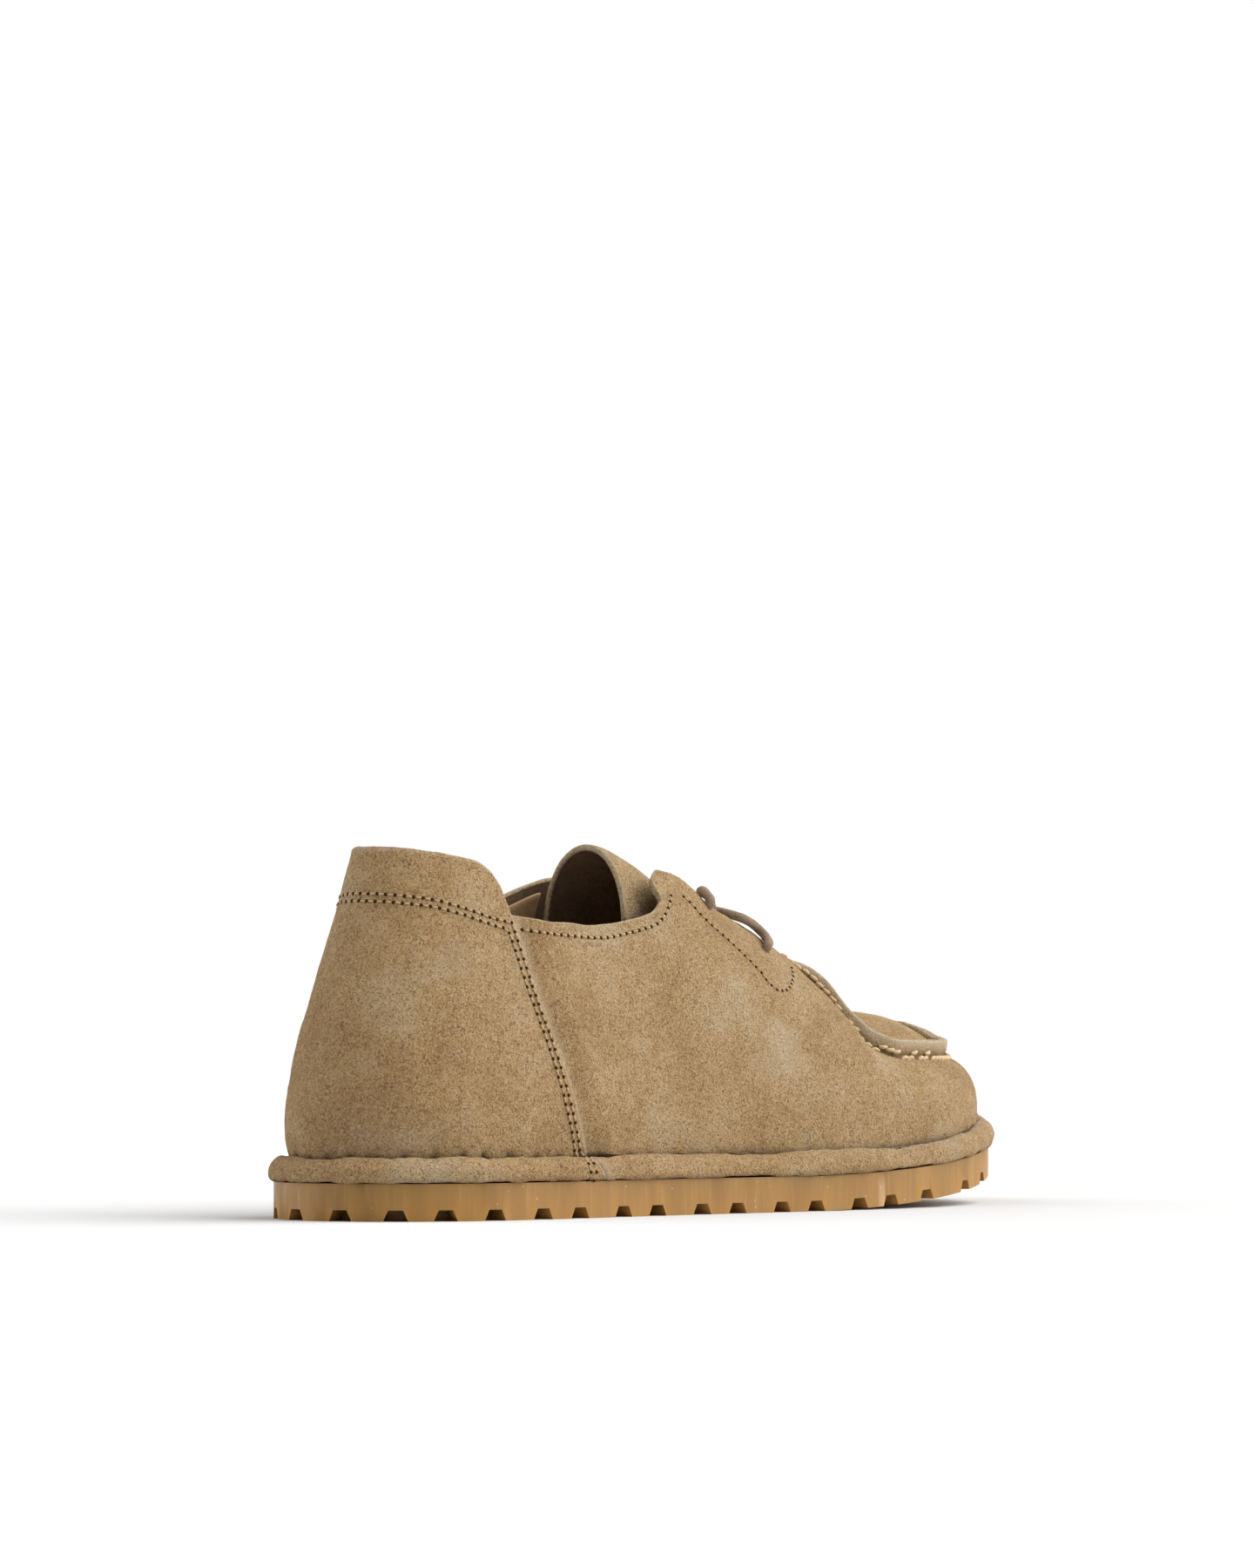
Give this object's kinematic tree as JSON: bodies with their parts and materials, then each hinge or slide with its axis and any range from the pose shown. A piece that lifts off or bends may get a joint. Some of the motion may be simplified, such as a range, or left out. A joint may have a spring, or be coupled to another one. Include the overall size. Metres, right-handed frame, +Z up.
{
  "type": "moccasin",
  "caption": "Low suede lace-up moccasin with a raised apron seam, a wrapped heel panel, a loose tongue and a grooved gum rubber sole",
  "frame": {"origin": "on the ground, under the middle of the footprint", "axes": "+X from heel to toe, +Z up, -Y to the outer side of the right foot"},
  "size_m": [0.2849, 0.1061, 0.104],
  "materials": {
    "suede_panels": "brushed suede nap",
    "lining_leather": "suede flesh side",
    "gum_rubber": "moulded translucent gum rubber",
    "cork": "ground cork",
    "stiffener_board": "impregnated fibre board",
    "sewing_thread": "waxed twisted thread",
    "lace_cord": "rolled suede cord"
  },
  "bodies": {
    "shoe": {"heel_panel": "suede_panels", "side_panel": "suede_panels", "apron": "suede_panels", "quarter_lining": "lining_leather", "footbed_cover": "lining_leather", "eyestay_backing_outer": "lining_leather", "eyestay_backing_inner": "lining_leather", "outsole": "gum_rubber", "cork_midsole": "cork", "footbed_core": "cork", "heel_stiffener": "stiffener_board", "heel_thread_edge_row": "sewing_thread", "heel_thread_second_row": "sewing_thread", "topline_thread_outer": "sewing_thread", "topline_thread_inner": "sewing_thread", "eyestay_thread_outer": "sewing_thread", "eyestay_thread_inner": "sewing_thread", "moc_seam_thread": "sewing_thread", "welt_thread": "sewing_thread", "lace": "lace_cord"},
    "tongue": {"tongue": "suede_panels"}
  },
  "joints": [
    {"name": "tongue_base", "type": "hinge", "parent": "shoe", "child": "tongue", "pos_m": [0.036, 0, 0.07], "axis": [0, -1, 0], "range_deg": [0, 12], "stiffness_Nm_per_rad": 0.15}
  ]
}
